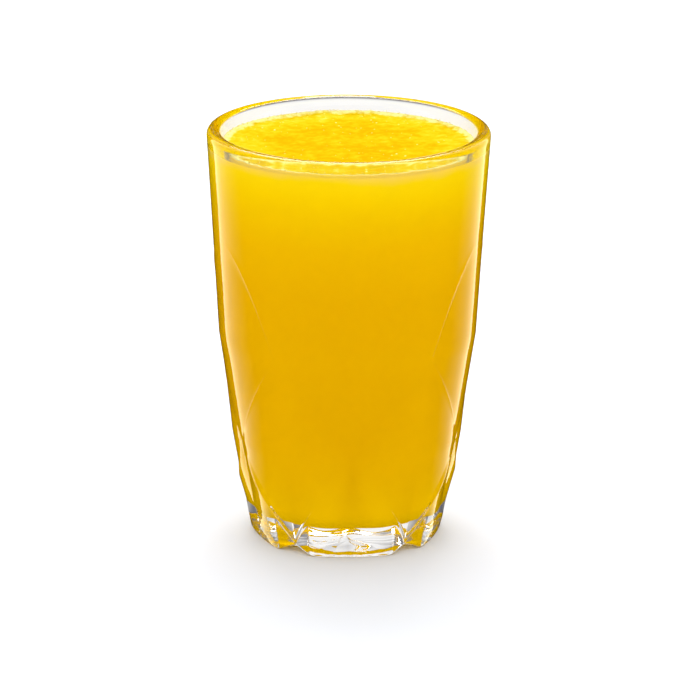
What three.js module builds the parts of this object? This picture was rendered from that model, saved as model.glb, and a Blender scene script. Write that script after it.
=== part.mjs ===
// A glass of orange juice. The tumbler is clear pressed glass, round at the
// rim and cut below with shallow facets that repeat five times around it, on a
// heavy lobed base. Cloudy juice fills it to just under the rim.
// Millimetres, +Z up, standing on Z = 0 with the middle of a lobe facing -Y.
import * as THREE from "three";

// Driving sizes of the tumbler.
const HEIGHT = 120;
const RIM_RADIUS = 40.4;
const LIP_BEAD_RADIUS = 1.8;
const FOOT_RADIUS = 26.5;
const FOOT_CORNER_RADIUS = 28.0;
const BASE_THICKNESS = 8.4;
const LOBES = 5;
const TIER = 30;

// The fill.
const JUICE_LEVEL = 115.3;
const JUICE_CLEARANCE = 0.3;
const EDGE_CREEP = 0.3;
const BROAD_FROTH = 0.14;
const SMALL_FROTH = 0.1;

// Points around each body from the middle of a lobe to the line between two.
const GLASS_STEPS_PER_HALF_LOBE = 10;
const JUICE_STEPS_PER_HALF_LOBE = 8;

// Radii of the outside where the pressed edges start, meet and end.
const CONE_RADIUS_AT_TIER_TWO = 37.45;
const CONE_SLOPE = 0.037;
const RIM_FLARE = 0.00109;
const ARCH_MIDDLE_RADIUS = 36.8;
const VALLEY_POINT_RADIUS = 32.2;
const PETAL_MIDDLE_RADIUS = 33.5;
const NOTCH_RADIUS = 26.4;
const LOBE_EDGE_BULGE = 1.3;
const EDGE_BAND_SHARE = 0.8;
const EDGE_BAND_FULLNESS = 0.55;
const VALLEY_HOLLOW = 0.15;

// How fast the lobe's edge falls and the arch's edge falls away sideways.
const LOBE_EDGE_POWER = 1.25;
const ARCH_EDGE_POWER = 2.1;
const PETAL_POWER = 1.6;

// The heel, the raised notches between the lobes and the hollow underneath.
const HEEL_HEIGHT = 0.45;
const HEEL_SETBACK = 0.5;
const NOTCH_RISE = 1.8;
const NOTCH_START = 0.56;
const CORNER_SHARE = 0.7;
const SHOULDER_SHARE = 0.262;
const SHOULDER_CORNER_SHARE = 0.838;
const HEEL_BREAK_SHARE = 0.35;
const HEEL_BREAK_FULLNESS = 0.3;
const FOOT_RING_INNER_RADIUS = 19.5;

// The cavity: [radius, height] from under the lip down to the bottom corner.
const CAVITY_WALL = [
  [36.55, 117.0],
  [36.1, 115.9],
  [35.75, 114.6],
  [35.55, 112.5],
  [35.0, 104],
  [34.2, 90],
  [32.6, 60],
  [29.2, 30],
  [27.2, 20],
];
const CORNER_TOP_RADIUS = 25.6;
const CORNER_HEIGHT = 5;
const CAVITY_FLOOR_RADIUS = 20.2;
const FLOOR_DISH = 0.2;
const CAVITY_RADIUS_AT_LEVEL = 35.9;

function mix(from, to, share) {
  return from + (to - from) * share;
}

function hump(share) {
  return 4 * share * (1 - share);
}

// How far column number `index` lies from the middle of its lobe, 0 to 1.
function lobeShare(index, stepsPerHalfLobe) {
  const place = (index + stepsPerHalfLobe) % (stepsPerHalfLobe * 2);
  return Math.abs(place - stepsPerHalfLobe) / stepsPerHalfLobe;
}

// Outside of the round upper part, opening slightly more towards the rim.
function coneRadius(z) {
  const above = Math.max(0, z - 3 * TIER);
  return CONE_RADIUS_AT_TIER_TWO + CONE_SLOPE * (z - 2 * TIER) + RIM_FLARE * above * above;
}

// Underside of the foot: flat under each lobe, raised at the notches.
function footHeight(share) {
  const rise = Math.max(0, (share - NOTCH_START) / (1 - NOTCH_START));
  return NOTCH_RISE * rise * rise * (3 - 2 * rise);
}

// The rows of the outside from the heel up, each giving [radius, height].
// Three pressed edges cross every lobe: the edge of the base lobe, the valley
// under the arched facet, and the arch where that facet runs out in the cone.
// Each lobe is widest at its corners and falls straight from them to the notch.
function heelRow(share) {
  const height = footHeight(share) + HEEL_HEIGHT;
  if (share > CORNER_SHARE) {
    const past = (share - CORNER_SHARE) / (1 - CORNER_SHARE);
    return [mix(FOOT_CORNER_RADIUS, NOTCH_RADIUS, past), height];
  }
  return [mix(FOOT_RADIUS, FOOT_CORNER_RADIUS, (share / CORNER_SHARE) ** 2), height];
}

function lobeEdgeRow(share) {
  const low = NOTCH_RISE + HEEL_HEIGHT;
  const drop = share ** LOBE_EDGE_POWER;
  const radius = mix(VALLEY_POINT_RADIUS, NOTCH_RADIUS, drop) + LOBE_EDGE_BULGE * hump(drop);
  return [radius, mix(TIER, low, drop)];
}

// The shoulder of the base: level in the middle of the lobe, climbing to the
// lobe's edge at its corner.
function shoulderRow(share) {
  const [lowRadius, low] = heelRow(share);
  const [highRadius, high] = lobeEdgeRow(share);
  const cornerward = Math.min(1, share / CORNER_SHARE);
  const up = mix(SHOULDER_SHARE, SHOULDER_CORNER_SHARE, cornerward ** 3);
  return [mix(lowRadius, highRadius, up), mix(low, high, up)];
}

// The break between heel and shoulder, fading out at the lobe's corner.
function heelBreakRow(share) {
  const [lowRadius, low] = heelRow(share);
  const [highRadius, high] = shoulderRow(share);
  const cornerward = Math.min(1, share / CORNER_SHARE);
  const fullness = HEEL_BREAK_FULLNESS * (1 - cornerward ** 2);
  const radius = mix(lowRadius, highRadius, HEEL_BREAK_SHARE) + fullness;
  return [radius, mix(low, high, HEEL_BREAK_SHARE)];
}

// The narrow band along the lobe's edge, which stands out from the lobe.
function edgeBandRow(share) {
  const [lowRadius, low] = shoulderRow(share);
  const [highRadius, high] = lobeEdgeRow(share);
  const radius = mix(lowRadius, highRadius, EDGE_BAND_SHARE) + EDGE_BAND_FULLNESS * hump(share);
  return [radius, mix(low, high, EDGE_BAND_SHARE)];
}

function petalMiddleRow(share) {
  const fall = (PETAL_MIDDLE_RADIUS - VALLEY_POINT_RADIUS) * (1 - share) ** PETAL_POWER;
  return [PETAL_MIDDLE_RADIUS - fall, TIER];
}

function valleyRow(share) {
  const straight = mix(VALLEY_POINT_RADIUS, CONE_RADIUS_AT_TIER_TWO, share);
  return [straight - VALLEY_HOLLOW * hump(share), mix(TIER, 2 * TIER, share)];
}

function archMiddleRow(share) {
  return [mix(ARCH_MIDDLE_RADIUS, CONE_RADIUS_AT_TIER_TWO, share * share), 2 * TIER];
}

function archEdgeRow(share) {
  const z = 3 * TIER - TIER * share ** ARCH_EDGE_POWER;
  return [coneRadius(z), z];
}

function coneTopRow() {
  const z = HEIGHT - 2 * LIP_BEAD_RADIUS;
  return [coneRadius(z), z];
}

// Rows spaced evenly between two others. The first is left out.
function between(lowRow, highRow, count) {
  const rows = [];
  for (let step = 1; step <= count; step += 1) {
    const up = step / count;
    rows.push((share) => {
      const [lowRadius, low] = lowRow(share);
      const [highRadius, high] = highRow(share);
      return [mix(lowRadius, highRadius, up), mix(low, high, up)];
    });
  }
  return rows;
}

// The underside: a flat ring to stand on and a shallow hollow inside it.
function undersideRows() {
  const hollow = [
    [0, 1.6],
    [7, 1.45],
    [13, 1.0],
    [17.5, 0.4],
    [FOOT_RING_INNER_RADIUS, 0],
  ];
  const rows = hollow.map((point) => () => point);
  rows.push((share) => [23, 0.5 * footHeight(share)]);
  rows.push((share) => [heelRow(share)[0] - HEEL_SETBACK, footHeight(share)]);
  return rows;
}

function outsideRows() {
  return [
    heelRow,
    heelBreakRow,
    shoulderRow,
    edgeBandRow,
    lobeEdgeRow,
    ...between(lobeEdgeRow, petalMiddleRow, 3),
    ...between(petalMiddleRow, valleyRow, 2),
    ...between(valleyRow, archMiddleRow, 2),
    ...between(archMiddleRow, archEdgeRow, 3),
    ...between(archEdgeRow, coneTopRow, 3),
  ];
}

// The fire-polished lip, from the outside over the top to the cavity.
function lipRows() {
  const rows = [];
  const centreRadius = RIM_RADIUS - LIP_BEAD_RADIUS;
  const centreHeight = HEIGHT - LIP_BEAD_RADIUS;
  const steps = 8;
  for (let step = 0; step <= steps; step += 1) {
    const turn = (Math.PI * step) / steps;
    const point = [
      centreRadius + LIP_BEAD_RADIUS * Math.cos(turn),
      centreHeight + LIP_BEAD_RADIUS * Math.sin(turn),
    ];
    rows.push(() => point);
  }
  return rows;
}

// The cavity's round bottom corner, then the middle of its floor. The juice
// takes the same curve, moved inwards by `clearance`.
function cornerPoints(clearance) {
  const points = [];
  const steps = 4;
  const topRadius = CORNER_TOP_RADIUS - clearance;
  const floor = BASE_THICKNESS + clearance;
  for (let step = 0; step <= steps; step += 1) {
    const turn = ((Math.PI / 2) * step) / steps;
    points.push([
      mix(CAVITY_FLOOR_RADIUS, topRadius, Math.cos(turn)),
      floor + CORNER_HEIGHT * (1 - Math.sin(turn)),
    ]);
  }
  points.push([0, floor - FLOOR_DISH]);
  return points;
}

function cavityRows() {
  return [...CAVITY_WALL, ...cornerPoints(0)].map((point) => () => point);
}

// A closed body from rows of [radius, height] swept around the Z axis. Points
// that coincide are shared, and triangles that shrink to nothing are left out.
function sweptBody(rows, stepsPerHalfLobe) {
  const columns = LOBES * stepsPerHalfLobe * 2;
  const positions = [];
  const known = new Map();
  function vertex(row, column) {
    const index = column % columns;
    const azimuth = (2 * Math.PI * index) / columns;
    const [radius, height] = row(lobeShare(index, stepsPerHalfLobe), azimuth);
    const point = [radius * Math.sin(azimuth), -radius * Math.cos(azimuth), height];
    const key = point.map((value) => Math.round(value * 1e5)).join("_");
    if (!known.has(key)) {
      known.set(key, positions.length / 3);
      positions.push(...point);
    }
    return known.get(key);
  }
  const triangles = [];
  function addTriangle(a, b, c) {
    if (a !== b && b !== c && c !== a) {
      triangles.push(a, b, c);
    }
  }
  for (let level = 0; level + 1 < rows.length; level += 1) {
    for (let column = 0; column < columns; column += 1) {
      const lowLeft = vertex(rows[level], column);
      const lowRight = vertex(rows[level], column + 1);
      const highRight = vertex(rows[level + 1], column + 1);
      const highLeft = vertex(rows[level + 1], column);
      const share = lobeShare(column, stepsPerHalfLobe);
      const nextShare = lobeShare(column + 1, stepsPerHalfLobe);
      if (nextShare > share) {
        addTriangle(lowLeft, lowRight, highRight);
        addTriangle(lowLeft, highRight, highLeft);
      } else {
        addTriangle(lowLeft, lowRight, highLeft);
        addTriangle(lowRight, highRight, highLeft);
      }
    }
  }
  const geometry = new THREE.BufferGeometry();
  geometry.setAttribute("position", new THREE.Float32BufferAttribute(positions, 3));
  geometry.setIndex(triangles);
  geometry.computeVertexNormals();
  return geometry;
}

function buildGlass() {
  const rows = [...undersideRows(), ...outsideRows(), ...lipRows(), ...cavityRows()];
  const clearGlass = new THREE.MeshStandardMaterial({
    color: 0xf4f6f5,
    roughness: 0.03,
    metalness: 0,
    transparent: true,
    opacity: 0.35,
  });
  const glass = new THREE.Mesh(sweptBody(rows, GLASS_STEPS_PER_HALF_LOBE), clearGlass);
  glass.name = "glass";
  return glass;
}

// Height of the soft froth and pulp on the juice at one point of its surface.
function frothHeight(radius, azimuth) {
  const x = radius * Math.sin(azimuth);
  const y = -radius * Math.cos(azimuth);
  const broad = Math.sin(0.62 * x + 1.3) * Math.cos(0.55 * y - 0.4);
  const small = Math.sin(0.95 * x - 0.7 * y + 2.1);
  return BROAD_FROTH * broad + SMALL_FROTH * small;
}

// The juice, standing clear of the glass all round, with its surface creeping
// up the wall at the edge.
function juiceRows() {
  const rows = cornerPoints(JUICE_CLEARANCE)
    .reverse()
    .map((point) => () => point);
  const wall = CAVITY_WALL.filter(([, height]) => height < JUICE_LEVEL - 0.5).reverse();
  for (const [radius, height] of wall) {
    rows.push(() => [radius - JUICE_CLEARANCE, height]);
  }
  const edgeRadius = CAVITY_RADIUS_AT_LEVEL - JUICE_CLEARANCE;
  rows.push(() => [edgeRadius, JUICE_LEVEL + EDGE_CREEP]);
  rows.push(() => [edgeRadius - 0.6, JUICE_LEVEL + 0.4 * EDGE_CREEP]);
  const surfaceRings = 9;
  const outermost = edgeRadius - 1.8;
  for (let ring = surfaceRings; ring >= 0; ring -= 1) {
    const radius = (outermost * ring) / surfaceRings;
    rows.push((_share, azimuth) => [radius, JUICE_LEVEL + frothHeight(radius, azimuth)]);
  }
  return rows;
}

function buildJuice() {
  const orangeJuice = new THREE.MeshStandardMaterial({
    color: 0xf2b404,
    roughness: 0.35,
    metalness: 0,
  });
  const juice = new THREE.Mesh(sweptBody(juiceRows(), JUICE_STEPS_PER_HALF_LOBE), orangeJuice);
  juice.name = "juice";
  return juice;
}

const glassOfJuice = new THREE.Group();
glassOfJuice.name = "glass_of_orange_juice";
glassOfJuice.add(buildGlass());
glassOfJuice.add(buildJuice());

export default glassOfJuice;
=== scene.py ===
import math

import bpy
import numpy as np
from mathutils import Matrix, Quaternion, Vector


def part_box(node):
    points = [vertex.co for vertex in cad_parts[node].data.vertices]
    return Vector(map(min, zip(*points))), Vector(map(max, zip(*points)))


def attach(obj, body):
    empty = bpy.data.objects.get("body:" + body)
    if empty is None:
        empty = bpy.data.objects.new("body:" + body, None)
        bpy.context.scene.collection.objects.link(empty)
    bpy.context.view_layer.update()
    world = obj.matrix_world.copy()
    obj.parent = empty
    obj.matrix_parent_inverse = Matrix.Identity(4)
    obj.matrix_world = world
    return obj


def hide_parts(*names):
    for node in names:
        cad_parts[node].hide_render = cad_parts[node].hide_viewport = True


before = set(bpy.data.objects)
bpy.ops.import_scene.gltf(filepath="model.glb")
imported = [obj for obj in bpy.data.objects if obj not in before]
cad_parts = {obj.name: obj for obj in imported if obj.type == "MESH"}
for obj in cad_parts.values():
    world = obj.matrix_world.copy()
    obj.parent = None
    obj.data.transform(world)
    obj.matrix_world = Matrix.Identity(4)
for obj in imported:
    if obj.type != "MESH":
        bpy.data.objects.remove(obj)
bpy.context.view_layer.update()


# The tumbler. One piece of clear pressed glass: a round, slightly flared upper
# part, five columns of shallow facets below it, a heavy lobed base and a
# fire-polished lip. Its cavity is plain and round. Its sizes are in millimetres.
MM = 0.001
glass_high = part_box("glass")[1]
HEIGHT = glass_high.z / MM
RIM_RADIUS = glass_high.x / MM
LIP_BEAD_RADIUS = 1.8
LIP_OUTER_STEPS = 14
LIP_INNER_RADIUS = 36.45
LIP_INNER_ROUNDING = 0.95
LIP_INNER_STEPS = 10
LIP_TOP_FALL = 0.2
LIP_CROWN_ACROSS = 0.6
LIP_CROWN_FALL = 0.3
FOOT_RADIUS = 26.5
FOOT_CORNER_RADIUS = 28.0
BASE_THICKNESS = 8.4
LOBES = 5
TIER = HEIGHT / 4
CONE_RADIUS_AT_TIER_TWO = 37.45
CONE_SLOPE = 0.037
RIM_FLARE = 0.00109
ARCH_MIDDLE_RADIUS = 36.8
VALLEY_POINT_RADIUS = 32.2
PETAL_MIDDLE_RADIUS = 33.5
NOTCH_RADIUS = 26.4
LOBE_EDGE_BULGE = 1.3
EDGE_BAND_SHARE = 0.8
EDGE_BAND_FULLNESS = 0.55
VALLEY_HOLLOW = 0.15
LOBE_EDGE_POWER = 1.25
ARCH_EDGE_POWER = 2.1
PETAL_POWER = 1.6
RIDGE_HALF_WIDTH = 0.4
RIDGE_HEIGHT = 0.11
RIDGE_STARTS = 0.08
RIDGE_FULL = 0.6
RIDGE_STEPS = 7
RIDGE_WIDEST_SHARE = 0.8
LEAST_GAP = 0.01
HEEL_HEIGHT = 0.45
HEEL_SETBACK = 0.5
HEEL_ROUNDING_IN = 0.25
HEEL_ROUNDING_DOWN = 0.7
NOTCH_RISE = 1.8
NOTCH_START = 0.56
CORNER_SHARE = 0.7
SHOULDER_SHARE = 0.262
SHOULDER_CORNER_SHARE = 0.838
HEEL_BREAK_SHARE = 0.35
HEEL_BREAK_FULLNESS = 0.3
HOLLOW_DEPTH = 0.8
STAR_POINTS = 10
STAR_DEPTH = 0.1
# Radius, and height as a share of the hollow's depth.
FOOT_HOLLOW = np.array(
    [(0, 1), (4, 0.97), (8, 0.88), (12, 0.69), (15.5, 0.45), (17.5, 0.25), (18.5, 0.13)]
)
FOOT_RING_INNER_RADIUS = 21.5
RIB_OUTER_RADIUS = 24.5
RIBS = 40
RIB_DEPTH = 0.22
RIB_ROWS = 8
NOTCH_SHARE_AT_RIBS = 0.5
HEEL_ROWS = 4
SHOULDER_ROWS = 6
BAND_ROWS = 7
EDGE_ROWS = 4
PETAL_ROWS = 12
VALLEY_ROWS = 8
ARCH_ROWS = 10
CONE_ROWS = 12
GLASS_COLUMNS = LOBES * 80
# Radius and height of the inner wall, from under the lip down to the cavity's corner.
UNDER_LIP = np.array([(36.43, 118.7), (36.38, 117.8), (36.28, 116.8), (36.1, 115.9)])
CAVITY_WALL = np.array(
    [(35.75, 114.6), (35.55, 112.5), (35, 104), (34.2, 90), (32.6, 60), (29.2, 30), (27.2, 20)]
)
CORNER_TOP_RADIUS = 25.6
CORNER_HEIGHT = 5.0
CORNER_ROWS = 9
CAVITY_FLOOR_RADIUS = 20.2
CAVITY_ROWS = 60
FLOOR_DISH = 0.2


def mix(start, end, share):
    """Straight line from start to end: start plus share times their difference."""
    return start + (end - start) * share


def hump(share):
    """Parabola that is 0 at share 0 and 1, and 1 in the middle."""
    return 4 * share * (1 - share)


def smooth(share):
    """Soft step: three times the square minus twice the cube, clipped to 0 and 1."""
    share = np.clip(share, 0, 1)
    return share * share * (3 - 2 * share)


def cone_radius(z):
    """Radius of the round upper part: a straight taper, plus a square term towards the rim."""
    above = np.maximum(0, z - 3 * TIER)
    return CONE_RADIUS_AT_TIER_TWO + CONE_SLOPE * (z - 2 * TIER) + RIM_FLARE * above**2


def foot_height(share):
    """Height of the underside: flat under the lobe, a soft step up to the notch."""
    return NOTCH_RISE * smooth((share - NOTCH_START) / (1 - NOTCH_START))


def heel_row(share):
    """Outer edge of the foot, as radius and height: a square curve out to the lobe's corner,
    then straight in to the notch."""
    lobe = mix(FOOT_RADIUS, FOOT_CORNER_RADIUS, (share / CORNER_SHARE) ** 2)
    past = (share - CORNER_SHARE) / (1 - CORNER_SHARE)
    flank = mix(FOOT_CORNER_RADIUS, NOTCH_RADIUS, past)
    return np.array([np.where(past > 0, flank, lobe), foot_height(share) + HEEL_HEIGHT])


def lobe_edge_row(share):
    """Edge of the base lobe: falls from the valley point to the notch as a power of share."""
    drop = share**LOBE_EDGE_POWER
    radius = mix(VALLEY_POINT_RADIUS, NOTCH_RADIUS, drop) + LOBE_EDGE_BULGE * hump(drop)
    return np.array([radius, mix(TIER, NOTCH_RISE + HEEL_HEIGHT, drop)])


def shoulder_row(share):
    """Shoulder of the base: between heel and lobe edge, climbing as a cube to the corner."""
    cornerward = np.minimum(1, share / CORNER_SHARE)
    up = mix(SHOULDER_SHARE, SHOULDER_CORNER_SHARE, cornerward**3)
    return mix(heel_row(share), lobe_edge_row(share), up)


def heel_break_row(share):
    """Break between heel and shoulder, a fixed share of the way up, fading out at the corner."""
    cornerward = np.minimum(1, share / CORNER_SHARE)
    row = mix(heel_row(share), shoulder_row(share), HEEL_BREAK_SHARE)
    row[0] += HEEL_BREAK_FULLNESS * (1 - cornerward**2)
    return row


def edge_band_row(share):
    """Lower line of the narrow band along the lobe's edge, standing out by a hump of share."""
    row = mix(shoulder_row(share), lobe_edge_row(share), EDGE_BAND_SHARE)
    row[0] += EDGE_BAND_FULLNESS * hump(share)
    return row


def petal_middle_row(share):
    """Level line through the petals: fullest at the petal's middle, a power curve to the point."""
    fall = (PETAL_MIDDLE_RADIUS - VALLEY_POINT_RADIUS) * (1 - share) ** PETAL_POWER
    return np.array([PETAL_MIDDLE_RADIUS - fall, np.full_like(share, TIER)])


def valley_row(share):
    """Valley between petal and arch: straight from the valley point up to tier two."""
    radius = mix(VALLEY_POINT_RADIUS, CONE_RADIUS_AT_TIER_TWO, share) - VALLEY_HOLLOW * hump(share)
    return np.array([radius, mix(TIER, 2 * TIER, share)])


def arch_middle_row(share):
    """Level line through the arched facets, lowest in the middle: a square curve."""
    radius = mix(ARCH_MIDDLE_RADIUS, CONE_RADIUS_AT_TIER_TWO, share**2)
    return np.array([radius, np.full_like(share, 2 * TIER)])


def arch_edge_row(share):
    """Arch where the facet runs out in the cone: its height falls as a power of share."""
    z = 3 * TIER - TIER * share**ARCH_EDGE_POWER
    return np.array([cone_radius(z), z])


def cone_top_row(share):
    """Level line under the lip bead."""
    z = np.full_like(share, HEIGHT - 2 * LIP_BEAD_RADIUS)
    return np.array([cone_radius(z), z])


def level_row(share, radius, height):
    """Level circle of one radius and height."""
    return np.array([np.full_like(share, radius), np.full_like(share, height)])


def rows_between(low, high, count):
    """Rows evenly from low to high, the first left out."""
    return [mix(low, high, up) for up in np.arange(1, count + 1) / count]


def ridge_rows(share, below, edge, above):
    """Rows across an edge between two facets, which stands up as a fine rounded ridge: its height
    is the square of one less the square of the distance from the edge, times a soft step of share
    that lets it fade out at the middle of the lobe."""
    ridge = RIDGE_HEIGHT * smooth((share - RIDGE_STARTS) / (RIDGE_FULL - RIDGE_STARTS))
    column_step = 2 * math.pi * CONE_RADIUS_AT_TIER_TWO / GLASS_COLUMNS
    reach = RIDGE_HALF_WIDTH * np.hypot(1, np.gradient(edge[1]) / column_step)
    rows = []
    for across in np.linspace(-1, 1, RIDGE_STEPS):
        beside = above if across > 0 else below
        gap = np.maximum(np.abs(beside[1] - edge[1]), LEAST_GAP)
        row = mix(edge, beside, np.clip(abs(across) * reach / gap, 0, RIDGE_WIDEST_SHARE))
        row[0] += ridge * (1 - across**2) ** 2
        rows.append(row)
    return rows


def underside_rows(share):
    """Rows under the foot, from the middle out: a shallow hollow with a faint star in it, whose
    height is a triangle wave of the azimuth times a hump of the radius, then fine ribs, which are
    a cosine of the azimuth times the root of a hump, and the rounded heel."""
    columns = len(share)
    azimuth = np.arange(columns) * 2 * math.pi / columns
    star = STAR_DEPTH * 2 * np.abs(np.arange(columns) / columns * STAR_POINTS % 1 - 0.5)
    groove = RIB_DEPTH * (0.5 - 0.5 * np.cos(RIBS * azimuth))
    rows = []
    for radius, height in FOOT_HOLLOW:
        relief = star * hump(radius / FOOT_RING_INNER_RADIUS)
        rows.append(np.array([np.full_like(share, radius), height * HOLLOW_DEPTH + relief]))
    for across in np.linspace(0, 1, RIB_ROWS):
        ring_radius = np.full_like(share, mix(FOOT_RING_INNER_RADIUS, RIB_OUTER_RADIUS, across))
        lift = NOTCH_SHARE_AT_RIBS * foot_height(share) * across
        rows.append(np.array([ring_radius, lift + groove * hump(across) ** 0.5]))
    heel = heel_row(share)
    rows.append(np.array([heel[0] - HEEL_SETBACK, foot_height(share)]))
    inward = HEEL_ROUNDING_IN * HEEL_SETBACK
    rows.append(np.array([heel[0] - inward, heel[1] - HEEL_ROUNDING_DOWN * HEEL_HEIGHT]))
    return rows


def lip_rows(share):
    """Rows over the lip: a quarter circle outside, a gentle fall, a smaller quarter circle inside."""
    rows = []
    for turn in np.linspace(0, math.pi / 2, LIP_OUTER_STEPS):
        radius = RIM_RADIUS - LIP_BEAD_RADIUS * (1 - math.cos(turn))
        height = HEIGHT - LIP_BEAD_RADIUS * (1 - math.sin(turn))
        rows.append(level_row(share, radius, height))
    inner_middle = LIP_INNER_RADIUS + LIP_INNER_ROUNDING
    inner_top = HEIGHT - LIP_TOP_FALL
    crown = mix(RIM_RADIUS - LIP_BEAD_RADIUS, inner_middle, LIP_CROWN_ACROSS)
    rows.append(level_row(share, crown, HEIGHT - LIP_CROWN_FALL * LIP_TOP_FALL))
    for turn in np.linspace(0, math.pi / 2, LIP_INNER_STEPS):
        radius = inner_middle - LIP_INNER_ROUNDING * math.sin(turn)
        height = inner_top - LIP_INNER_ROUNDING * (1 - math.cos(turn))
        rows.append(level_row(share, radius, height))
    return rows


def cavity_corner(clearance=0.0):
    """Round bottom corner of the cavity, a quarter ellipse from wall to floor."""
    turn = np.linspace(0, math.pi / 2, CORNER_ROWS)
    radius = mix(CAVITY_FLOOR_RADIUS, CORNER_TOP_RADIUS + clearance, np.cos(turn))
    height = BASE_THICKNESS - clearance + CORNER_HEIGHT * (1 - np.sin(turn))
    return np.stack([radius, height], 1)


def smooth_profile(points, count):
    """Evenly spaced points on a smooth curve through a profile: a cubic that passes every point."""
    along = np.concatenate([[0], np.cumsum(np.hypot(*np.diff(points, axis=0).T))])
    slope = np.gradient(points, along, axis=0)
    at = np.linspace(0, along[-1], count)
    left = np.clip(np.searchsorted(along, at, side="right") - 1, 0, len(along) - 2)
    gap = (along[left + 1] - along[left])[:, None]
    t = ((at - along[left]) / gap[:, 0])[:, None]
    start = (2 * t**3 - 3 * t**2 + 1) * points[left] + (t**3 - 2 * t**2 + t) * gap * slope[left]
    end = (3 * t**2 - 2 * t**3) * points[left + 1] + (t**3 - t**2) * gap * slope[left + 1]
    return start + end


def swept_mesh(name, rows):
    """Closed surface of revolution: each row of radius and height is turned round the Z axis
    from -Y towards +X. The first and last rows are points on the axis."""
    radius, height = np.array(rows).swapaxes(0, 1)
    columns = radius.shape[1]
    azimuth = np.arange(columns) * 2 * math.pi / columns
    inner_radius, inner_height = radius[1:-1], height[1:-1]
    x = inner_radius * np.sin(azimuth)
    y = -inner_radius * np.cos(azimuth)
    ring = np.stack([x, y, inner_height], 2).reshape(-1, 3)
    ends = [(0, 0, height[0].mean()), (0, 0, height[-1].mean())]
    points = np.concatenate([ring, ends]) * MM
    rings = len(inner_radius)
    here = np.arange(rings * columns).reshape(rings, columns)
    right = np.roll(here, -1, 1)
    quads = np.stack([here[:-1], right[:-1], right[1:], here[1:]], 2).reshape(-1, 4)
    first = np.stack([np.full(columns, rings * columns), right[0], here[0]], 1)
    last = np.stack([np.full(columns, rings * columns + 1), here[-1], right[-1]], 1)
    mesh = bpy.data.meshes.new(name)
    mesh.from_pydata(points, [], quads.tolist() + first.tolist() + last.tolist())
    mesh.polygons.foreach_set("use_smooth", np.ones(len(mesh.polygons), bool))
    mesh.update()
    return mesh


def lobe_share(columns):
    """How far each column is from the middle of its lobe: a triangle wave from 0 to 1."""
    turns = np.arange(columns) / columns * LOBES
    return 2 * np.abs((turns + 0.5) % 1 - 0.5)


def tumbler_rows(share):
    """Every row of the tumbler, from the middle of the underside out, up, over and down inside."""
    heel = heel_row(share)
    heel_break = heel_break_row(share)
    shoulder = shoulder_row(share)
    edge_band = edge_band_row(share)
    lobe_edge = lobe_edge_row(share)
    petal_middle = petal_middle_row(share)
    arch_middle = arch_middle_row(share)
    cone_top = cone_top_row(share)
    valley_ridge = ridge_rows(share, petal_middle, valley_row(share), arch_middle)
    arch_ridge = ridge_rows(share, arch_middle, arch_edge_row(share), cone_top)
    rows = underside_rows(share) + [heel]
    rows += rows_between(heel, heel_break, HEEL_ROWS)
    rows += rows_between(heel_break, shoulder, SHOULDER_ROWS)
    rows += rows_between(shoulder, edge_band, BAND_ROWS)
    rows += rows_between(edge_band, lobe_edge, EDGE_ROWS)
    rows += rows_between(lobe_edge, petal_middle, PETAL_ROWS)
    rows += rows_between(petal_middle, valley_ridge[0], VALLEY_ROWS) + valley_ridge[1:]
    rows += rows_between(valley_ridge[-1], arch_middle, VALLEY_ROWS)
    rows += rows_between(arch_middle, arch_ridge[0], ARCH_ROWS) + arch_ridge[1:]
    rows += rows_between(arch_ridge[-1], cone_top, CONE_ROWS) + lip_rows(share)
    inside = np.concatenate([UNDER_LIP, CAVITY_WALL, cavity_corner()])
    rows += [level_row(share, *point) for point in smooth_profile(inside, CAVITY_ROWS)]
    rows.append(level_row(share, 0, BASE_THICKNESS - FLOOR_DISH))
    return rows


def add_object(name, mesh, *materials):
    """New object at the origin with its mesh and materials."""
    piece = bpy.data.objects.new(name, mesh)
    bpy.context.scene.collection.objects.link(piece)
    for material in materials:
        mesh.materials.append(material)
    return piece


def add_node(tree, kind, inputs=None, **settings):
    """New node of one kind with its settings. Each input gets a value, or a link where it is
    given another node's output."""
    node = tree.nodes.new(kind)
    for name, setting in settings.items():
        setattr(node, name, setting)
    for name, value in (inputs or {}).items():
        if isinstance(value, bpy.types.NodeSocket):
            tree.links.new(value, node.inputs[name])
        else:
            node.inputs[name].default_value = value
    return node


def new_material(name, values):
    """New material whose Principled shader has the given values on its own sockets."""
    material = bpy.data.materials.new(name)
    material.use_nodes = True
    shader = material.node_tree.nodes["Principled BSDF"]
    for socket, value in values.items():
        shader.inputs[socket].default_value = value
    return material, material.node_tree, shader


def unevenness_group():
    """Node group: soft noise over a place, as it is, and as a share between two limits."""
    group = bpy.data.node_groups.new("unevenness", "ShaderNodeTree")
    group.interface.new_socket("Place", in_out="INPUT", socket_type="NodeSocketVector")
    noise_starts = {"Scale": 100, "Detail": 2, "Roughness": 0.5}
    limit_starts = {"From Min": 0, "From Max": 1, "To Min": 0, "To Max": 1}
    for name, start in {**noise_starts, **limit_starts}.items():
        socket = group.interface.new_socket(name, in_out="INPUT", socket_type="NodeSocketFloat")
        socket.default_value = start
    for name in ("Noise", "Share"):
        group.interface.new_socket(name, in_out="OUTPUT", socket_type="NodeSocketFloat")
    given = group.nodes.new("NodeGroupInput").outputs
    noise_inputs = {name: given[name] for name in noise_starts}
    noise = add_node(group, "ShaderNodeTexNoise", {"Vector": given["Place"], **noise_inputs})
    limits = {name: given[name] for name in limit_starts}
    share = add_node(group, "ShaderNodeMapRange", {"Value": noise.outputs["Fac"], **limits})
    result = {"Noise": noise.outputs["Fac"], "Share": share.outputs["Result"]}
    add_node(group, "NodeGroupOutput", result)
    return group


tumbler_mesh = swept_mesh("tumbler", tumbler_rows(lobe_share(GLASS_COLUMNS)))
unevenness = unevenness_group()

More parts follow.
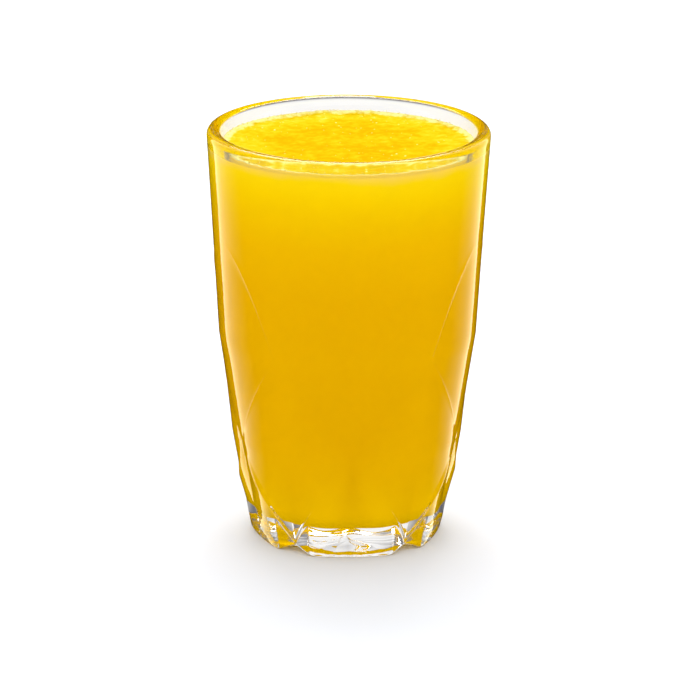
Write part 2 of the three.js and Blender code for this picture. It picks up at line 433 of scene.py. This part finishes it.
# Plain glass without a tint. Slow waves run over it, as they do where a mould has cooled it.
WAVE_SCALE = 55
WAVE_DEPTH = 0.1
glass_values = {
    "Base Color": (1, 1, 1, 1),
    "Metallic": 0,
    "Roughness": 0.0,
    "IOR": 1.5,
    "Transmission Weight": 1.0,
}
clear_glass, tree, shader = new_material("clear_glass", glass_values)
place = add_node(tree, "ShaderNodeTexCoord").outputs["Object"]
waves = add_node(tree, "ShaderNodeGroup", {"Place": place, "Scale": WAVE_SCALE}, node_tree=unevenness)
wave_inputs = {"Height": waves.outputs["Noise"], "Strength": 1.0, "Distance": WAVE_DEPTH * MM}
waviness = add_node(tree, "ShaderNodeBump", wave_inputs)
tree.links.new(waviness.outputs["Normal"], shader.inputs["Normal"])
tumbler = add_object("tumbler", tumbler_mesh, clear_glass)
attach(tumbler, "root")
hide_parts("glass")


# The juice. Opaque and cloudy, filled to just under the rim. The piece reaches
# a hair into the wall of the glass, so that the two touch with no air between.
# Froth and pulp stand in low soft bumps on its surface, more of them at the wall.
JUICE_LEVEL = 115.3
WALL_OVERLAP = 0.12
WALL_ENDS_UNDER_LEVEL = 0.5
JUICE_WALL_ROWS = 60
JUICE_COLUMNS = 400
SURFACE_RADIUS = 35.5
SURFACE_RINGS = 110
EDGE_RADIUS = 35.8
EDGE_LOWER_RADIUS = 35.75
EDGE_HEIGHT = 0.35
FROTH_SEED = 11
FROTH_BUMPS = 1600
FROTH_CROWDING = 0.42
FROTH_WIDTHS = (0.3, 1.2)
FROTH_WIDTH_POWER = 2.5
FROTH_STEEPNESS = 0.2
FROTH_LOWEST = 0.5
FROTH_AT_WALL = 0.8
FROTH_AT_WALL_POWER = 12
CREEP_WIDTH = 1.5
CREEP_HEIGHT = 0.7


def froth_bumps(x, y):
    """Height of the froth at each point: the sum of seeded bumps, each a bell curve of the
    distance from its middle, which lie closer together towards the wall."""
    draw = np.random.default_rng(FROTH_SEED)
    middle_radius = SURFACE_RADIUS * draw.random(FROTH_BUMPS) ** FROTH_CROWDING
    middle_azimuth = draw.random(FROTH_BUMPS) * 2 * math.pi
    width = mix(*FROTH_WIDTHS, draw.random(FROTH_BUMPS) ** FROTH_WIDTH_POWER)
    tall = FROTH_STEEPNESS * width * mix(FROTH_LOWEST, 1.0, draw.random(FROTH_BUMPS))
    tall *= 1 + FROTH_AT_WALL * (middle_radius / SURFACE_RADIUS) ** FROTH_AT_WALL_POWER
    middle_x = middle_radius * np.sin(middle_azimuth)
    middle_y = -middle_radius * np.cos(middle_azimuth)
    height = np.zeros_like(x)
    for ring in range(len(x)):
        apart = (x[ring][:, None] - middle_x) ** 2 + (y[ring][:, None] - middle_y) ** 2
        height[ring] = np.sum(tall * np.exp(-apart / width**2), 1)
    return height


def juice_rows(share):
    """Rows of the juice, from the middle of the bottom, up the wall and in over the surface.
    The surface creeps up at the wall, as a square of the nearness, and carries the froth."""
    columns = len(share)
    corner = cavity_corner(WALL_OVERLAP)[::-1]
    wall_points = CAVITY_WALL[CAVITY_WALL[:, 1] < JUICE_LEVEL - WALL_ENDS_UNDER_LEVEL]
    wall = wall_points[::-1] + (WALL_OVERLAP, 0)
    azimuth = np.arange(columns) * 2 * math.pi / columns
    ring_radius = np.linspace(SURFACE_RADIUS, 0, SURFACE_RINGS)[:, None]
    froth = froth_bumps(ring_radius * np.sin(azimuth), -ring_radius * np.cos(azimuth))
    nearness = np.clip(1 - (SURFACE_RADIUS - ring_radius) / CREEP_WIDTH, 0, 1)
    surface = JUICE_LEVEL + froth + CREEP_HEIGHT * nearness**2
    outline = smooth_profile(np.concatenate([corner, wall]), JUICE_WALL_ROWS)
    rows = [level_row(share, 0, BASE_THICKNESS - FLOOR_DISH - WALL_OVERLAP)]
    rows += [level_row(share, *point) for point in outline]
    edge = surface[0]
    rows.append(np.array([np.full(columns, EDGE_LOWER_RADIUS + WALL_OVERLAP), edge - EDGE_HEIGHT]))
    rows.append(np.array([np.full(columns, EDGE_RADIUS + WALL_OVERLAP), edge]))
    for radius, height in zip(ring_radius[:, 0], surface):
        rows.append(np.array([np.full(columns, radius), height]))
    return rows


def add_ramp(tree, share, tones):
    """Colour that runs through the given tones, each at its own share."""
    ramp = add_node(tree, "ShaderNodeValToRGB", {"Fac": share})
    elements = ramp.color_ramp.elements
    while len(elements) < len(tones):
        elements.new(1.0)
    for element, (position, tone) in zip(elements, tones):
        element.position = position
        element.color = (*tone, 1)
    return ramp.outputs["Color"]


def add_sum(tree, one, other, **settings):
    """Sum of two shares."""
    node = add_node(tree, "ShaderNodeMath", {0: one, 1: other}, operation="ADD", **settings)
    return node.outputs["Value"]


def polygon_vectors(mesh, kind):
    """Centre or normal of every polygon, one row each."""
    values = np.empty(len(mesh.polygons) * 3, np.float32)
    mesh.polygons.foreach_get(kind, values)
    return values.reshape(-1, 3)


# Seen through the glass, the juice is paler at the bottom and towards the top
# and deepest in tone half way up: painted light and shade, standing in for how
# much light reaches each part. Just under the surface it ends in a pale band of
# froth, and a slow drift in tone runs from place to place.
JUICE_TONES_AND_PAINTED_LIGHT = [
    (0.0, (0.97, 0.60, 0.0006)),
    (0.22, (0.905, 0.528, 0.0006)),
    (0.5, (0.89, 0.515, 0.0006)),
    (0.65, (0.90, 0.522, 0.0007)),
    (0.79, (0.945, 0.573, 0.0008)),
    (0.93, (0.97, 0.665, 0.001)),
    (0.975, (0.97, 0.70, 0.003)),
    (0.99, (0.96, 0.68, 0.06)),
    (1.0, (0.95, 0.66, 0.10)),
]
JUICE_TONES_END = JUICE_LEVEL + 0.4
CLOUD_SCALE = 60
CLOUD_DRIFT = 0.025
cloudy_values = {"Roughness": 0.6, "Specular IOR Level": 0.0}
cloudy_juice, tree, shader = new_material("cloudy_juice", cloudy_values)
place = add_node(tree, "ShaderNodeTexCoord").outputs["Object"]
axes = add_node(tree, "ShaderNodeSeparateXYZ", {"Vector": place})
height_limits = {"From Min": BASE_THICKNESS * MM, "From Max": JUICE_TONES_END * MM}
juice_height = add_node(tree, "ShaderNodeMapRange", {"Value": axes.outputs["Z"], **height_limits})
cloud_inputs = {"Scale": CLOUD_SCALE, "Detail": 4, "To Min": -CLOUD_DRIFT, "To Max": CLOUD_DRIFT}
cloud = add_node(tree, "ShaderNodeGroup", {"Place": place, **cloud_inputs}, node_tree=unevenness)
drifted = add_sum(tree, juice_height.outputs["Result"], cloud.outputs["Share"])
# Height sets the painted light and shade in the juice's colour; the drift is its own unevenness.
tree.links.new(add_ramp(tree, drifted, JUICE_TONES_AND_PAINTED_LIGHT), shader.inputs["Base Color"])

# The surface is paler where the froth stands high, where pulp has gathered and
# towards the wall, where it ends in a ragged pale fringe. All its tones are kept
# much darker than the juice's side: painted shade, which offsets the stronger
# light that falls on the surface from above.
SURFACE_TONES_AND_PAINTED_SHADE = [
    (0.0, (0.375, 0.212, 0.001)),
    (0.25, (0.39, 0.246, 0.0015)),
    (0.55, (0.405, 0.288, 0.004)),
    (0.8, (0.43, 0.325, 0.012)),
    (1.0, (0.47, 0.38, 0.05)),
]
FROTH_PALE_FROM = JUICE_LEVEL + 0.05
FROTH_PALE_TO = JUICE_LEVEL + 0.9
FROTH_PALENESS = 0.6
PULP_NOISE = {"Scale": 400, "Detail": 3, "Roughness": 0.55}
PULP_PALENESS = {"From Min": 0.4, "From Max": 0.68, "To Max": 0.42}
DRIFT_NOISE = {"Scale": 95, "Detail": 2}
DRIFT_PALENESS = {"From Min": 0.35, "From Max": 0.65, "To Min": -0.16, "To Max": 0.22}
WALL_PALE_FROM = 16
WALL_PALE_TO = 36.5
WALL_PALENESS = 0.4
FRINGE_RAGGEDNESS = 4
FRINGE_TONE = (0.57, 0.51, 0.18, 1)
GRAIN_STRENGTH = 0.35
GRAIN_DEPTH = 0.3
surface_values = {"Roughness": 0.4, "Specular IOR Level": 0.0}
juice_surface, tree, shader = new_material("juice_surface", surface_values)
place = add_node(tree, "ShaderNodeTexCoord").outputs["Object"]
axes = add_node(tree, "ShaderNodeSeparateXYZ", {"Vector": place})
froth_inputs = {
    "Value": axes.outputs["Z"],
    "From Min": FROTH_PALE_FROM * MM,
    "From Max": FROTH_PALE_TO * MM,
    "To Max": FROTH_PALENESS,
}
froth_share = add_node(tree, "ShaderNodeMapRange", froth_inputs).outputs["Result"]
pulp_inputs = {"Place": place, **PULP_NOISE, **PULP_PALENESS}
pulp = add_node(tree, "ShaderNodeGroup", pulp_inputs, node_tree=unevenness).outputs
drift_inputs = {"Place": place, **DRIFT_NOISE, **DRIFT_PALENESS}
drift = add_node(tree, "ShaderNodeGroup", drift_inputs, node_tree=unevenness).outputs
flat_place = add_node(tree, "ShaderNodeVectorMath", {0: place, 1: (1, 1, 0)}, operation="MULTIPLY")
flat_input = {0: flat_place.outputs["Vector"]}
from_middle = add_node(tree, "ShaderNodeVectorMath", flat_input, operation="LENGTH").outputs["Value"]
wall_inputs = {
    "Value": from_middle,
    "From Min": WALL_PALE_FROM * MM,
    "From Max": WALL_PALE_TO * MM,
    "To Max": WALL_PALENESS,
}
wall_share = add_node(tree, "ShaderNodeMapRange", wall_inputs, interpolation_type="SMOOTHSTEP")
lumps = add_sum(tree, froth_share, add_sum(tree, pulp["Share"], drift["Share"]))
paleness = add_sum(tree, lumps, wall_share.outputs["Result"], use_clamp=True)
# These tones carry the painted shade of the whole surface as well as its froth and pulp.
surface_tone_and_painted_shade = add_ramp(tree, paleness, SURFACE_TONES_AND_PAINTED_SHADE)
ragged_inputs = {0: pulp["Noise"], 1: FRINGE_RAGGEDNESS * MM, 2: from_middle}
ragged = add_node(tree, "ShaderNodeMath", ragged_inputs, operation="MULTIPLY_ADD")
fringe_ends = SURFACE_RADIUS + FRINGE_RAGGEDNESS / 2
fringe_inputs = {"From Min": (fringe_ends - CREEP_WIDTH) * MM, "From Max": fringe_ends * MM}
fringe_inputs["Value"] = ragged.outputs["Value"]
fringe = add_node(tree, "ShaderNodeMapRange", fringe_inputs, interpolation_type="SMOOTHSTEP")
tone_inputs = {"Factor": fringe.outputs["Result"], "A": surface_tone_and_painted_shade, "B": FRINGE_TONE}
with_fringe = add_node(tree, "ShaderNodeMix", tone_inputs, data_type="RGBA")
tree.links.new(with_fringe.outputs["Result"], shader.inputs["Base Color"])
grain_inputs = {"Height": pulp["Noise"], "Strength": GRAIN_STRENGTH, "Distance": GRAIN_DEPTH * MM}
grain = add_node(tree, "ShaderNodeBump", grain_inputs)
tree.links.new(grain.outputs["Normal"], shader.inputs["Normal"])

# Faces near the level that don't look outwards are the surface, all others the side.
# The surface faces take the darker tones of painted shade.
juice_mesh = swept_mesh("juice_body", juice_rows(lobe_share(JUICE_COLUMNS)))
juice = add_object("juice_body", juice_mesh, cloudy_juice, juice_surface)
SURFACE_STARTS = JUICE_LEVEL - 1
STEEPEST_SURFACE = 0.5
face_centres = polygon_vectors(juice_mesh, "center")
face_normals = polygon_vectors(juice_mesh, "normal")
from_axis = np.hypot(face_centres[:, 0], face_centres[:, 1])
outward = np.sum(face_centres[:, :2] * face_normals[:, :2], 1) / np.maximum(from_axis, MM)
on_top = (face_centres[:, 2] > SURFACE_STARTS * MM) & (outward < STEEPEST_SURFACE)
juice_mesh.polygons.foreach_set("material_index", on_top.astype(np.int32))
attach(juice, "root")
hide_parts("juice")


# The bubbles. Small thin-skinned domes of air afloat on the juice, blown by
# pouring: single ones all over and crowds of them along the wall of the glass.
BUBBLE_SEED = 5
LOOSE_BUBBLES = 170
WALL_BUBBLES = 700
BUBBLES = LOOSE_BUBBLES + WALL_BUBBLES
BUBBLE_RADII = (0.14, 0.42)
BUBBLE_RADIUS_POWER = 3
WALL_BUBBLE_SHARE = 0.4
BUBBLE_CROWDING = 0.4
LOOSE_BUBBLE_MARGIN = 0.8
WALL_FOAM_RADIUS = SURFACE_RADIUS + 0.1
WALL_FOAM_WIDTH = 0.7
WALL_FOAM_HEIGHT = 0.5
DOME_SINKS = 0.45
DOME_REACH = 0.62 * math.pi
KEEL_DEPTH = 0.4
DOME_RINGS = 5
DOME_SPOKES = 10


def bubble_domes(draw):
    """Points of every dome, dome by dome: each is the upper part of a sphere, its rings
    set by the angle from the top and its spokes by the angle round it."""
    radius = mix(*BUBBLE_RADII, draw.random(BUBBLES) ** BUBBLE_RADIUS_POWER)
    radius[LOOSE_BUBBLES:] *= WALL_BUBBLE_SHARE
    at_wall = np.arange(BUBBLES) >= LOOSE_BUBBLES
    loose = (SURFACE_RADIUS - LOOSE_BUBBLE_MARGIN) * draw.random(BUBBLES) ** BUBBLE_CROWDING
    crowded = WALL_FOAM_RADIUS - WALL_FOAM_WIDTH * draw.random(BUBBLES) ** 2
    from_middle = np.where(at_wall, crowded, loose)
    turn = draw.random(BUBBLES) * 2 * math.pi
    middle_x = from_middle * np.sin(turn)
    middle_y = -from_middle * np.cos(turn)
    piled = CREEP_HEIGHT + WALL_FOAM_HEIGHT * draw.random(BUBBLES) ** 2
    lifted = froth_bumps(middle_x[None], middle_y[None])[0] - DOME_SINKS * radius
    floats_at = JUICE_LEVEL + lifted + np.where(at_wall, piled, 0)
    down = np.linspace(0, DOME_REACH, DOME_RINGS + 1)[1:]
    around = np.arange(DOME_SPOKES) * 2 * math.pi / DOME_SPOKES
    across = np.sin(down)[:, None] * np.stack([np.cos(around), np.sin(around)])[:, None]
    ring_x = middle_x[:, None, None] + radius[:, None, None] * across[0]
    ring_y = middle_y[:, None, None] + radius[:, None, None] * across[1]
    ring_z = floats_at[:, None, None] + radius[:, None, None] * np.cos(down)[:, None]
    rings = np.stack(np.broadcast_arrays(ring_x, ring_y, ring_z), 3).reshape(BUBBLES, -1, 3)
    tops = np.stack([middle_x, middle_y, floats_at + radius], 1)[:, None]
    keels = np.stack([middle_x, middle_y, floats_at - KEEL_DEPTH * radius], 1)[:, None]
    return np.concatenate([tops, rings, keels], 1)


def dome_faces():
    """Faces of one dome: a fan at the top, rings of quads and a fan under it."""
    spoke = np.arange(DOME_SPOKES)
    onward = (spoke + 1) % DOME_SPOKES
    top = np.stack([np.zeros_like(spoke), 1 + spoke, 1 + onward], 1).tolist()
    quads = []
    for ring in range(DOME_RINGS - 1):
        upper = 1 + ring * DOME_SPOKES
        lower = upper + DOME_SPOKES
        quads += np.stack([upper + spoke, lower + spoke, lower + onward, upper + onward], 1).tolist()
    last = 1 + (DOME_RINGS - 1) * DOME_SPOKES
    keel = np.full_like(spoke, last + DOME_SPOKES)
    return top, quads, np.stack([last + spoke, keel, last + onward], 1).tolist()


dome_points = bubble_domes(np.random.default_rng(BUBBLE_SEED))
points_per_dome = dome_points.shape[1]
bubble_faces = []
for fan_or_rings in dome_faces():
    shifted = np.array(fan_or_rings)[None] + np.arange(BUBBLES)[:, None, None] * points_per_dome
    bubble_faces += shifted.reshape(-1, shifted.shape[2]).tolist()
bubble_mesh = bpy.data.meshes.new("bubbles")
bubble_mesh.from_pydata(dome_points.reshape(-1, 3) * MM, [], bubble_faces)
bubble_mesh.polygons.foreach_set("use_smooth", np.ones(len(bubble_mesh.polygons), bool))

# The skins differ in tone, some nearly the juice's own and some pale.
FILM_SCALE = 900
FILM_TONES = [(0.35, (0.54, 0.41, 0.015)), (0.65, (0.62, 0.55, 0.14))]
bubble_skin, tree, shader = new_material("bubble_skin", {"Roughness": 0.15, "Specular IOR Level": 0.2})
place = add_node(tree, "ShaderNodeTexCoord").outputs["Object"]
film_inputs = {"Place": place, "Scale": FILM_SCALE, "Detail": 1}
film = add_node(tree, "ShaderNodeGroup", film_inputs, node_tree=unevenness)
tree.links.new(add_ramp(tree, film.outputs["Noise"], FILM_TONES), shader.inputs["Base Color"])
bubbles = add_object("bubbles", bubble_mesh, bubble_skin)
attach(bubbles, "root")
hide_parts("juice")


# The floor. Plain and pale, wide enough to fill every view. It is neither
# mirrored in the glass nor seen through it: the room stands in for it there.
# From here on sizes are in metres.
FLOOR_HALF = 6.0
FLOOR_TONE = (0.46, 0.473, 0.497, 1)
floor_corners = [(-1, -1), (1, -1), (1, 1), (-1, 1)]
floor_points = [(x * FLOOR_HALF, y * FLOOR_HALF, 0) for x, y in floor_corners]
floor_mesh = bpy.data.meshes.new("floor")
floor_mesh.from_pydata(floor_points, [], [(0, 1, 2, 3)])
floor_values = {"Base Color": FLOOR_TONE, "Roughness": 0.9, "Specular IOR Level": 0.0}
floor_paint = new_material("floor_paint", floor_values)[0]
floor = add_object("floor", floor_mesh, floor_paint)
floor.visible_glossy = False
floor.visible_transmission = False


# The side panels. Two tall glowing panels beside and behind the glass, which
# show only as slightly warm reflections in its sides, bright at their far edge
# and fading towards the camera.
PANEL_DISTANCE = 0.19
PANEL_NEAR = 0.017
PANEL_FAR = 0.223
PANEL_LOW = -0.3
PANEL_HIGH = 0.4
PANEL_GLOW = 2.7
PANEL_FADE_POWER = 1.5
PANEL_TINT = (1.0, 0.96, 0.66, 1)
panel_paint, tree, shader = new_material("panel_paint", {})
tree.nodes.remove(shader)
place = add_node(tree, "ShaderNodeTexCoord").outputs["Object"]
axes = add_node(tree, "ShaderNodeSeparateXYZ", {"Vector": place})
fade_inputs = {"Value": axes.outputs["Y"], "From Min": PANEL_NEAR, "From Max": PANEL_FAR}
fade = add_node(tree, "ShaderNodeMapRange", fade_inputs).outputs["Result"]
curve = add_node(tree, "ShaderNodeMath", {0: fade, 1: PANEL_FADE_POWER}, operation="POWER")
strength_inputs = {0: curve.outputs["Value"], 1: PANEL_GLOW}
strength = add_node(tree, "ShaderNodeMath", strength_inputs, operation="MULTIPLY")
glow_inputs = {"Color": PANEL_TINT, "Strength": strength.outputs["Value"]}
glow = add_node(tree, "ShaderNodeEmission", glow_inputs)
tree.links.new(glow.outputs["Emission"], tree.nodes["Material Output"].inputs["Surface"])
panel_outline = [
    (PANEL_NEAR, PANEL_LOW),
    (PANEL_FAR, PANEL_LOW),
    (PANEL_FAR, PANEL_HIGH),
    (PANEL_NEAR, PANEL_HIGH),
]
for side in (-1, 1):
    panel_mesh = bpy.data.meshes.new("side_panel")
    panel_points = [(side * PANEL_DISTANCE, y, z) for y, z in panel_outline]
    panel_mesh.from_pydata(panel_points, [], [(0, 1, 2, 3)])
    panel = add_object("side_panel", panel_mesh, panel_paint)
    panel.visible_camera = False
    panel.visible_diffuse = False
    panel.visible_transmission = False
    panel.visible_shadow = False


# The room. It lights the juice evenly from all round, and less from below. Seen
# through the clear glass it is white towards each of its four sides and dark
# between them, above and below, which draws the fine lines along the facets.
ROOM_LIGHT = (2.22, 2.22, 2.22, 1)
LIGHT_FROM_FLOOR = (0.9, 0.9, 0.9, 1)
WHITE = (1, 1, 1, 1)
BLACK = (0, 0, 0, 1)
WHITE_WITHIN = 0.96
DARK_BEYOND = 0.72
DARK_TONE = (0.20, 0.21, 0.25, 1)

# A ray that has bounced off something matt brings it light, any other is only seen.
HALF_A_BOUNCE = 0.5
room = bpy.data.worlds.new("room")
room.use_nodes = True
tree = room.node_tree
path = add_node(tree, "ShaderNodeLightPath").outputs
direction = add_node(tree, "ShaderNodeTexCoord").outputs["Generated"]
axes = add_node(tree, "ShaderNodeSeparateXYZ", {"Vector": direction})
unsigned = add_node(tree, "ShaderNodeVectorMath", {0: direction}, operation="ABSOLUTE")
sides = add_node(tree, "ShaderNodeSeparateXYZ", {"Vector": unsigned.outputs["Vector"]}).outputs
towards_side = add_node(tree, "ShaderNodeMath", {0: sides["X"], 1: sides["Y"]}, operation="MAXIMUM")
dark_limits = {"From Min": WHITE_WITHIN, "From Max": DARK_BEYOND}
dark_inputs = {"Value": towards_side.outputs["Value"], **dark_limits}
dark_share = add_node(tree, "ShaderNodeMapRange", dark_inputs, interpolation_type="SMOOTHSTEP")
seen_inputs = {"Factor": dark_share.outputs["Result"], "A": WHITE, "B": DARK_TONE}
seen_through = add_node(tree, "ShaderNodeMix", seen_inputs, data_type="RGBA")
mirror_inputs = {0: path["Is Glossy Ray"], 1: path["Is Reflection Ray"]}
mirrored = add_node(tree, "ShaderNodeMath", mirror_inputs, operation="MULTIPLY").outputs["Value"]
only_seen_inputs = {"Factor": mirrored, "A": seen_through.outputs["Result"], "B": BLACK}
only_seen = add_node(tree, "ShaderNodeMix", only_seen_inputs, data_type="RGBA")
below = add_node(tree, "ShaderNodeMath", {0: axes.outputs["Z"], 1: 0.0}, operation="LESS_THAN")
light_inputs = {"Factor": below.outputs["Value"], "A": ROOM_LIGHT, "B": LIGHT_FROM_FLOOR}
light_tone = add_node(tree, "ShaderNodeMix", light_inputs, data_type="RGBA")
bounce_inputs = {0: path["Diffuse Depth"], 1: HALF_A_BOUNCE}
brings_light = add_node(tree, "ShaderNodeMath", bounce_inputs, operation="GREATER_THAN")
room_inputs = {
    "Factor": brings_light.outputs["Value"],
    "A": only_seen.outputs["Result"],
    "B": light_tone.outputs["Result"],
}
room_tone = add_node(tree, "ShaderNodeMix", room_inputs, data_type="RGBA")
tree.links.new(room_tone.outputs["Result"], tree.nodes["Background"].inputs["Color"])
bpy.context.scene.world = room


# The overhead light. One wide soft square lamp above and behind the glass, tilted
# towards its foot, which throws the soft shadow forwards.
OVERHEAD_SIZE = 0.7
OVERHEAD_POWER = 9
OVERHEAD_BEHIND = 0.6
OVERHEAD_HEIGHT = 0.9
overhead_data = bpy.data.lights.new("overhead", "AREA")
overhead_data.shape = "SQUARE"
overhead_data.size = OVERHEAD_SIZE
overhead_data.energy = OVERHEAD_POWER
overhead = add_object("overhead", overhead_data)
overhead.location = (0, OVERHEAD_BEHIND, OVERHEAD_HEIGHT)
overhead.rotation_euler = (-math.atan2(OVERHEAD_BEHIND, OVERHEAD_HEIGHT), 0, 0)
overhead.visible_camera = False


# The camera. It stands about 1.4 m away, a little to the left of the middle of
# a lobe, and looks down at the glass by 17 degrees through a long lens.
CAMERA_DISTANCE = 1.3
CAMERA_HEIGHT = 0.4544
CAMERA_AZIMUTH = -3.0
PITCH_DOWN = 17.12
YAW = 0.0321
ROLL = 0.358
FOCAL_PIXELS = 4723.7
FRAME_PIXELS = 700
SENSOR_WIDTH = 36
camera_data = bpy.data.cameras.new("camera")
camera_data.sensor_width = SENSOR_WIDTH
camera_data.lens = FOCAL_PIXELS / FRAME_PIXELS * SENSOR_WIDTH
camera = add_object("camera", camera_data)
heading = math.radians(CAMERA_AZIMUTH)
camera_x = CAMERA_DISTANCE * math.sin(heading)
camera_y = -CAMERA_DISTANCE * math.cos(heading)
camera.location = (camera_x, camera_y, CAMERA_HEIGHT)
turned = heading - math.radians(YAW)
pitch = math.radians(PITCH_DOWN)
level_ahead = Vector((-math.sin(turned), math.cos(turned), 0))
forward = level_ahead * math.cos(pitch) - Vector((0, 0, math.sin(pitch)))
camera.rotation_mode = "QUATERNION"
upright = forward.to_track_quat("-Z", "Y")
camera.rotation_quaternion = upright @ Quaternion((0, 0, 1), math.radians(ROLL))
bpy.context.scene.camera = camera
bpy.context.scene.view_settings.view_transform = "Standard"

# Light crosses many walls of glass on its way, so it may be bent many times.
bpy.context.scene.cycles.max_bounces = 24
bpy.context.scene.cycles.diffuse_bounces = 8
bpy.context.scene.cycles.glossy_bounces = 12
bpy.context.scene.cycles.transmission_bounces = 20
